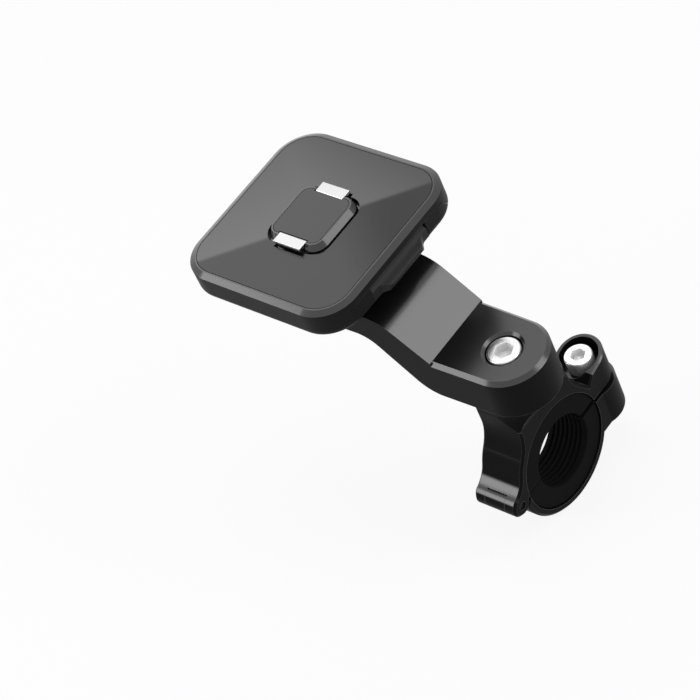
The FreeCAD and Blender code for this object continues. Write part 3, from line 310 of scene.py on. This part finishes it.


# In each finish below, the second colour is a painted edge highlight: a lighter colour along edges
# and chamfers that stands for the light they catch.
anodised = finish_of("black_anodised", (0.0055, 0.0056, 0.0058), (0.17, 0.171, 0.173),
                     roughness=0.42, spread=0.10, specular=0.035,
                     grain=2600.0, bump=2.0, radius=0.3, highlight_spread=2.6,
                     coat=(1.64, 0.21), coat_from=(0.60, 0.72))
moulded = finish_of("moulded_black", (0.0070, 0.0070, 0.0073), (0.08, 0.08, 0.081),
                    roughness=0.45, spread=0.10, specular=0.08,
                    grain=3200.0, bump=2.0, radius=0.35, highlight_spread=1.6,
                    coat=(1.62, 0.15), coat_from=(0.30, 0.42))
button_skin = finish_of("button_satin", (0.008, 0.008, 0.0083), (0.05, 0.05, 0.051),
                        roughness=0.36, spread=0.08, specular=0.16,
                        grain=3600.0, bump=1.5, radius=0.3, highlight_spread=1.2)
pad_skin = finish_of("pad_skin", (0.011, 0.011, 0.0112), grey(0.02),
                     roughness=0.5, spread=0.06, specular=0.05,
                     grain=5200.0, bump=0.1, radius=0.2, highlight_spread=1.0, coat=(1.46, 0.01))
cap_skin = finish_of("cap_skin", (0.024, 0.024, 0.0245), grey(0.03),
                     roughness=0.5, spread=0.06, specular=0.05,
                     grain=4200.0, bump=0.5, radius=0.2, highlight_spread=1.2, coat=(1.5, 0.30))
rubber = finish_of("liner_rubber", (0.0055, 0.0055, 0.0056), grey(0.009),
                   roughness=0.72, spread=0.12, specular=0.03,
                   grain=1800.0, bump=14.0, radius=0.3, highlight_spread=1.5)
# The washer's light grey and its still lighter edge colour are painted highlight: they stand for
# the thin light line at the seam between neck and arm.
washer_highlight_skin = finish_of("washer_plastic", (0.09, 0.09, 0.091), grey(0.28),
                        roughness=0.45, spread=0.1, specular=0.2,
                        grain=2600.0, bump=5.0, radius=0.1)
pin_skin = finish_of("pin_blackened", (0.007, 0.007, 0.0072), grey(0.02),
                     roughness=0.4, spread=0.1, specular=0.06,
                     grain=1500.0, bump=3.0, radius=0.2)
inner = finish_of("inner_plastic", (0.05, 0.05, 0.052), grey(0.09),
                  roughness=0.5, spread=0.1, grain=2000.0, bump=8.0)
plated = finish_of("plated_tab", (0.46, 0.46, 0.465), grey(0.58), metallic=1.0,
                   roughness=0.22, spread=0.05, grain=1500.0, bump=0.8, radius=0.3)
spring_steel = finish_of("spring_wire", (0.62, 0.62, 0.63), grey(0.7), metallic=1.0,
                         roughness=0.3, spread=0.1, radius=0.05)
nickel = finish_of("magnet_nickel", (0.68, 0.67, 0.65), (0.8, 0.8, 0.78), metallic=1.0,
                   roughness=0.22, spread=0.1)
sheet_steel = finish_of("plate_steel", (0.6, 0.6, 0.61), grey(0.75), metallic=1.0,
                        roughness=0.35, spread=0.12)

FINISHES = {
    "upper_jaw": anodised, "lower_jaw": anodised, "arm": anodised,
    "hinge_pin": pin_skin, "swivel_washer": washer_highlight_skin,
    "head_housing": moulded, "back_cover": moulded, "release_button": button_skin,
    "top_pad": pad_skin, "pedestal_cap": cap_skin, "latch_front": plated, "latch_rear": plated,
    "cam_slide": inner, "anchor_plate": sheet_steel, "magnets": nickel,
}
for node, material in FINISHES.items():
    for slot in frame["nodes"][node].material_slots:
        slot.material = material


# Surfaces worked out on grids

def surface(name, rows, caps=(True, True)):
    """Mesh from a grid of points in millimetres, rows x columns: columns close
    round on themselves, and a row shrunk to one point becomes a pole."""
    rows = np.asarray(rows, float)
    count, wide = rows.shape[:2]
    i = np.arange(count - 1)[:, None]
    j = np.arange(wide)[None, :]
    right = (j + 1) % wide
    quads = np.stack([i * wide + j, i * wide + right, (i + 1) * wide + right, (i + 1) * wide + j],
                     -1)
    faces = quads.reshape(-1, 4).tolist()
    if caps[0]:
        faces.append(list(range(wide))[::-1])
    if caps[1]:
        faces.append(list(range((count - 1) * wide, count * wide)))
    mesh = bpy.data.meshes.new(name)
    mesh.from_pydata((rows.reshape(-1, 3) * MM).tolist(), [], faces)
    mesh.update()
    piece = bpy.data.objects.new(name, mesh)
    bpy.context.scene.collection.objects.link(piece)
    return piece


def tidy(piece, angle=35):
    """Merges doubles, turns faces outwards and smooths all but sharp edges."""
    nearest, limit = 1e-7, math.radians(angle)
    work = bmesh.new()
    work.from_mesh(piece.data)
    bmesh.ops.remove_doubles(work, verts=work.verts, dist=nearest)
    bmesh.ops.dissolve_degenerate(work, edges=work.edges, dist=nearest)
    bmesh.ops.recalc_face_normals(work, faces=work.faces)
    for face in work.faces:
        face.smooth = True
    for edge in work.edges:
        edge.smooth = len(edge.link_faces) == 2 and edge.calc_face_angle(0.0) < limit
    work.to_mesh(piece.data)
    work.free()
    return piece


def join(name, pieces):
    """Makes one piece of several."""
    for piece in bpy.context.scene.objects:
        piece.select_set(piece in pieces)
    bpy.context.view_layer.objects.active = pieces[0]
    bpy.ops.object.join()
    pieces[0].name = name
    pieces[0].data.name = name
    return pieces[0]


def cap_head(radius, height, hexagon, shank, columns):
    """Head of a socket cap screw as rows of a turned grid, from the middle of
    the socket over the top and down the side to the shank. The radius is a
    hexagon's inside the socket, and on the side it falls between fine upright
    ridges by a cosine of the angle."""
    ridges, ridge_depth, side_rows = 40, 0.021 * radius, 7
    below_rounding, foot = 0.15, 0.12
    floor = height - 0.55 * height
    rounding = 0.09 * radius
    sixth = math.pi / 3
    a = np.linspace(0, ROUND, columns, endpoint=False)
    one = np.ones_like(a)
    flats = hexagon / 2 / np.cos((a + sixth / 2) % sixth - sixth / 2)
    groove = 0.5 - 0.5 * np.cos(a * ridges)
    profile = [(0.0 * one, floor - 0.15 * hexagon), (0.42 * hexagon * one, floor - 0.02 * hexagon),
               (flats, floor), (flats, height - 0.04 * hexagon), (flats * 1.05, height),
               ((radius - rounding) * one, height)]
    for t in np.linspace(0, math.pi / 2, 5)[1:]:
        profile.append(((radius - rounding + rounding * math.sin(t)) * one,
                        height - rounding + rounding * math.cos(t)))
    for t in np.linspace(0, 1, side_rows):
        deep = ridge_depth * min(1.0, 4 * t, 4 * (1 - t))
        profile.append((radius - deep * groove,
                        (height - rounding - below_rounding) * (1 - t) + foot * t))
    profile += [((radius - foot) * one, 0.0), (shank * 0.98 * one, 0.0), (shank * 0.5 * one, 0.02)]
    return np.array([np.stack([r * np.cos(a), r * np.sin(a), z * one], -1) for r, z in profile])


def cap_shank(radius, pitch, length):
    """Threaded shank as rows of a turned grid, down from the seat. The radius
    falls by a triangle wave along a helix, which runs in over its first turn,
    and the tip narrows over the last."""
    first, run_in_at, rows_a_turn, columns = 0.03, 0.2, 8, 72
    thread_depth, tip_depth = 0.54 * pitch, 0.3 * pitch
    a = np.linspace(0, ROUND, columns, endpoint=False)
    z = np.arange(first, length, pitch / rows_a_turn)[:, None]
    phase = (z / pitch + a[None, :] / ROUND) % 1.0
    run_in = np.clip((z - run_in_at) / pitch, 0, 1)
    tip = np.clip((z - (length - pitch)) / pitch, 0, 1)
    r = radius - thread_depth * np.abs(2 * phase - 1) * run_in - tip_depth * tip
    return np.stack([r * np.cos(a), r * np.sin(a), -z * np.ones_like(r)], -1)


def socket_cap(name, place, size, up=1, turn=0.0, columns=240):
    """Socket cap screw with its seat at a place, its head up or down (1 or -1),
    and turned about its own axis."""
    c, s = math.cos(turn), math.sin(turn)
    head = cap_head(size["radius"], size["height"], size["hexagon"], size["shank"], columns)
    shank = cap_shank(size["shank"], size["pitch"], size["length"])
    parts = []
    for label, rows in (("head", head), ("shank", shank)):
        x, y, z = rows[..., 0], rows[..., 1], rows[..., 2]
        rows = np.stack([x * c - y * s, (x * s + y * c) * up, z * up], -1) + np.array(place)
        parts.append(tidy(surface(name + "_" + label, rows, caps=(label == "shank", True))))
    return join(name, parts)


def liner_half(name, upper, split_front, split_back):
    """Half of the rubber liner: its section, with grooves in the bore and lips
    at the ends, carried round the bar between the two flat split faces, which
    are at these heights."""
    bore, outer, lip, half, lip_width = 11.1, 15.8, 17.5, 7.0, 1.2
    soft, steps = 0.35, 73
    grooves, floor_half, mouth_half, depth = np.linspace(-4.8, 4.8, 7), 0.25, 0.45, 0.45
    section = [(-half, bore + soft), (-half + soft, bore)]
    for g in grooves:
        section += [(g - mouth_half, bore), (g - floor_half, bore + depth),
                    (g + floor_half, bore + depth), (g + mouth_half, bore)]
    section += [(half - soft, bore), (half, bore + soft), (half, lip - soft), (half - soft, lip),
                (half - lip_width, lip), (half - lip_width, outer), (-half + lip_width, outer),
                (-half + lip_width, lip), (-half + soft, lip), (-half, lip - soft)]
    x, r = np.array(section).T
    front = np.arcsin(split_front / r)
    back = np.arcsin(split_back / r)
    start, stop = (front, math.pi - back) if upper else (-math.pi - back, front)
    t = np.linspace(0, 1, steps)[:, None]
    a = start[None, :] * (1 - t) + stop[None, :] * t
    rows = np.stack([np.broadcast_to(x, a.shape), r * np.cos(a), r * np.sin(a)], -1)
    return tidy(surface(name, rows), 30)


def wound_spring(name, foot, length, radius, wire, coils):
    """Flat-wire compression spring: a rounded oblong section, whose sides are
    powers of a sine and cosine, carried along a helix that climbs evenly from
    its foot, with its two ends closed."""
    corners, section_steps, turn_steps = 0.45, 12, 36
    x, y, floor = foot
    wide, high = wire[0] / 2, wire[1] / 2
    around = np.linspace(0, ROUND, section_steps, endpoint=False)
    out = wide * np.sign(np.cos(around)) * np.abs(np.cos(around)) ** corners
    rise = high * np.sign(np.sin(around)) * np.abs(np.sin(around)) ** corners
    a = np.linspace(0, ROUND * coils, turn_steps * coils + 1)[:, None]
    z = floor + high + (length - 2 * high) * a / a[-1]
    r = radius + out[None, :]
    rows = np.stack([x + r * np.cos(a), y + r * np.sin(a), z + rise[None, :]], -1)
    return tidy(surface(name, rows), 40)


# Fine detail

def dress(piece, body, slot, material, *nodes):
    """Gives a finished piece its body, material and the nodes it stands for. The slot is not used.
    """
    piece.data.materials.clear()
    piece.data.materials.append(material)
    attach(piece, body)
    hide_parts(*nodes)
    return piece


M5 = {"radius": 4.25, "height": 5.0, "hexagon": 4.0, "shank": 2.5, "pitch": 0.8, "length": 16.0}
M6 = {"radius": 5.0, "height": 6.0, "hexagon": 5.0, "shank": 3.0, "pitch": 1.0, "length": 16.0}
M4 = {"radius": 3.5, "height": 4.0, "hexagon": 3.0, "shank": 2.0, "pitch": 0.7, "length": 18.8}
M2_5 = {"radius": 2.2, "height": 1.3, "hexagon": 1.5, "shank": 1.25, "pitch": 0.45, "length": 6.3}

dress(socket_cap("clamp_screw_turned", (0, CLAMP_SCREW_Y, CLAMP_SEAT_Z), M5, turn=0.35),
      "clamp_screw", "steel", turned_steel("clamp_screw_steel", 0, CLAMP_SCREW_Y), "clamp_bolt")
dress(socket_cap("pivot_screw_turned", (0, 0, PIVOT_SEAT_Z), M6, turn=0.35),
      "clamp", "steel", turned_steel("pivot_screw_steel", 0, 0), "pivot_bolt")

arm_screws = [socket_cap("arm_screw_%d" % k, (HEAD_X + side * ARM_SCREW_OUT, 0, ARM_SEAT_Z), M4,
                         up=-1, turn=0.5 * k, columns=160) for k, side in enumerate((-1, 1))]
dress(join("arm_screws_turned", arm_screws), "head_arm", "steel",
      turned_steel("arm_screw_steel", HEAD_X, 0), "arm_screws")

cover_screws = [socket_cap("cover_screw_%d%d" % (i, j),
                           (HEAD_X + i * COVER_SCREW_OUT, j * COVER_SCREW_OUT, COVER_SEAT_Z),
                           M2_5, up=-1, turn=0.3 * i + 0.2 * j, columns=120)
                for i in (-1, 1) for j in (-1, 1)]
dress(join("cover_screws_turned", cover_screws), "head_arm", "steel",
      turned_steel("cover_screw_steel", HEAD_X, 0), "cover_screws")

dress(liner_half("liner_upper_moulded", True, 3.8, 0.15), "clamp", "liner_rubber", rubber,
      "liner_upper")
dress(liner_half("liner_lower_moulded", False, 2.2, -0.15), "lower_jaw", "liner_rubber", rubber,
      "liner_lower")

for side, end in ((1, "front"), (-1, "rear")):
    foot = (HEAD_X, side * SPRING_OUT, SPRING_FOOT_Z)
    spring = wound_spring("spring_%s_wound" % end, foot, length=3.46, radius=1.15,
                          wire=(0.35, 0.3), coils=3)
    dress(spring, "head_arm", "steel", spring_steel, "latch_spring_" + end)
    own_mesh(spring)


# Studio

LAMP_AIM = Vector((-20, 0, 35)) * MM
LAMP_DISTANCE = 0.80


def area_lamp(name, size, power):
    """Rectangular soft lamp that has still to be placed."""
    lamp = bpy.data.lights.new(name, "AREA")
    lamp.shape = "RECTANGLE"
    lamp.size, lamp.size_y = size
    lamp.energy = power
    holder = bpy.data.objects.new(name, lamp)
    bpy.context.scene.collection.objects.link(holder)
    return holder


def softbox(name, azimuth, elevation, size, power):
    """Soft lamp in a direction from the mount, in degrees, and facing it."""
    holder = area_lamp(name, size, power)
    a, e = math.radians(azimuth), math.radians(elevation)
    towards = Vector((math.cos(e) * math.cos(a), math.cos(e) * math.sin(a), math.sin(e)))
    holder.location = LAMP_AIM + towards * LAMP_DISTANCE
    holder.rotation_euler = (LAMP_AIM - holder.location).to_track_quat("-Z", "Y").to_euler()


def graded_panel(name, middle, along, across, size, power):
    """Large soft lamp whose middle line runs along one direction through a
    point (millimetres). Past that line it is bright and falls away outwards, and
    before it a faint glow fades towards one end."""
    brightest, least, fall_a_metre, faint_level = 2.8, 0.5, 20.0, 0.95
    faint_fades, faint_deepens, line = (0.0, 0.055), (-0.08, -0.03), (-0.0015, 0.0015)
    holder = area_lamp(name, size, power)
    x = Vector(along).normalized()
    y = Vector(across) - x * Vector(across).dot(x)
    y.normalize()
    centre = Vector(middle) * MM
    holder.matrix_world = (Matrix.Translation(centre)
                           @ Matrix((x, y, x.cross(y))).transposed().to_4x4())

    holder.data.use_nodes = True
    tree = holder.data.node_tree
    tree.nodes.clear()
    place = add(tree, "ShaderNodeVectorMath",
                [(0, add(tree, "ShaderNodeNewGeometry").outputs["Position"])], operation="SUBTRACT")
    place.inputs[1].default_value = centre
    sides = []
    for axis in (x, y):
        part = add(tree, "ShaderNodeVectorMath", [(0, place.outputs[0])], operation="DOT_PRODUCT")
        part.inputs[1].default_value = axis
        sides.append(part.outputs["Value"])
    u, v = sides
    out = maths(tree, "ADD", maths(tree, "MAXIMUM", u, 0.0), v)
    fall = maths(tree, "MULTIPLY", out, fall_a_metre)
    bright = maths(tree, "MAXIMUM", maths(tree, "SUBTRACT", brightest, fall), least)
    share = maths(tree, "ADD", smooth_step(tree, v, *faint_deepens), 1.0)
    loss = maths(tree, "MULTIPLY", maths(tree, "MULTIPLY", share, faint_level / 2),
                 smooth_step(tree, u, *faint_fades))
    faint = maths(tree, "SUBTRACT", faint_level, loss)
    strength = add(tree, "ShaderNodeMix",
                   [("Factor", smooth_step(tree, v, *line)), (2, faint), (3, bright)])
    glow = add(tree, "ShaderNodeEmission", [("Strength", strength.outputs[0])], Color=WHITE)
    add(tree, "ShaderNodeOutputLight", [(0, glow.outputs[0])])


softbox("key_right", 31, 40, (0.38, 0.48), 1.75)
softbox("key_left", -136, 28, (0.46, 0.46), 2.3)
softbox("card_low", 23, 6, (0.30, 0.20), 0.5)
softbox("top_strip", 100, 74, (0.24, 0.24), 0.8)
graded_panel("panel_back", (-788.5, 487, 846), (0.698, 0.716, 0), (-0.4771, 0.4651, -0.7456),
             (1.0, 0.72), 2.26)

world = bpy.data.worlds.new("studio")
bpy.context.scene.world = world
world.use_nodes = True
sky = world.node_tree
sky.nodes.clear()
FILL_LEVEL, BACKDROP_LEVEL = 0.45, 1.0
around = add(sky, "ShaderNodeBackground", Color=WHITE, Strength=FILL_LEVEL)
backdrop = add(sky, "ShaderNodeBackground", Color=WHITE, Strength=BACKDROP_LEVEL)
choice = add(sky, "ShaderNodeMixShader",
             [(0, shown_rays(sky)), (1, around.outputs[0]), (2, backdrop.outputs[0])])
add(sky, "ShaderNodeOutputWorld", [(0, choice.outputs[0])])


def pale_floor(glow_share=0.88):
    """Pale paint that keeps a soft shadow, most of it glowing white to the rays
    that show it."""
    material = bpy.data.materials.new("pale_floor")
    material.use_nodes = True
    tree = material.node_tree
    paint = tree.nodes["Principled BSDF"]
    soft = add(tree, "ShaderNodeTexNoise",
               [("Vector", add(tree, "ShaderNodeTexCoord").outputs["Object"])], Scale=3.0)
    tree.links.new(blend(tree, soft.outputs[0], grey(0.90), grey(0.93)),
                   paint.inputs["Base Color"])
    give(paint, Roughness=0.9, Specular_IOR_Level=0.1)
    glow = add(tree, "ShaderNodeEmission", Color=WHITE, Strength=1.0)
    lift = add(tree, "ShaderNodeMixShader",
               [(0, maths(tree, "MULTIPLY", shown_rays(tree), glow_share)), (1, paint.outputs[0]),
                (2, glow.outputs[0])])
    tree.links.new(lift.outputs[0], tree.nodes["Material Output"].inputs[0])
    return material


FLOOR_REACH = 2.5
floor_mesh = bpy.data.meshes.new("floor")
floor_mesh.from_pydata([(x * FLOOR_REACH, y * FLOOR_REACH, cad_box[0][2])
                        for x, y in ((-1, -1), (1, -1), (1, 1), (-1, 1))], [], [(0, 1, 2, 3)])
floor_mesh.materials.append(pale_floor())
floor = bpy.data.objects.new("floor", floor_mesh)
bpy.context.scene.collection.objects.link(floor)


# The photograph's camera

EYE = Vector((0.43132, -0.32577, 0.58855))
EYE_RIGHT = Vector((0.746545, 0.584039, -0.318699))
EYE_UP = Vector((-0.280798, 0.710830, 0.644883))
EYE_BACK = Vector((0.603177, -0.391944, 0.694663))

eye = bpy.data.cameras.new("photo_view")
eye.sensor_fit = "HORIZONTAL"
eye.sensor_width = 36.0
eye.lens = 142.375
eye.clip_start = 0.05
eye.clip_end = 20.0
camera = bpy.data.objects.new("photo_view", eye)
bpy.context.scene.collection.objects.link(camera)
camera.matrix_world = (Matrix.Translation(EYE)
                       @ Matrix((EYE_RIGHT, EYE_UP, EYE_BACK)).transposed().to_4x4())
bpy.context.scene.camera = camera
bpy.context.scene.view_settings.view_transform = "Standard"
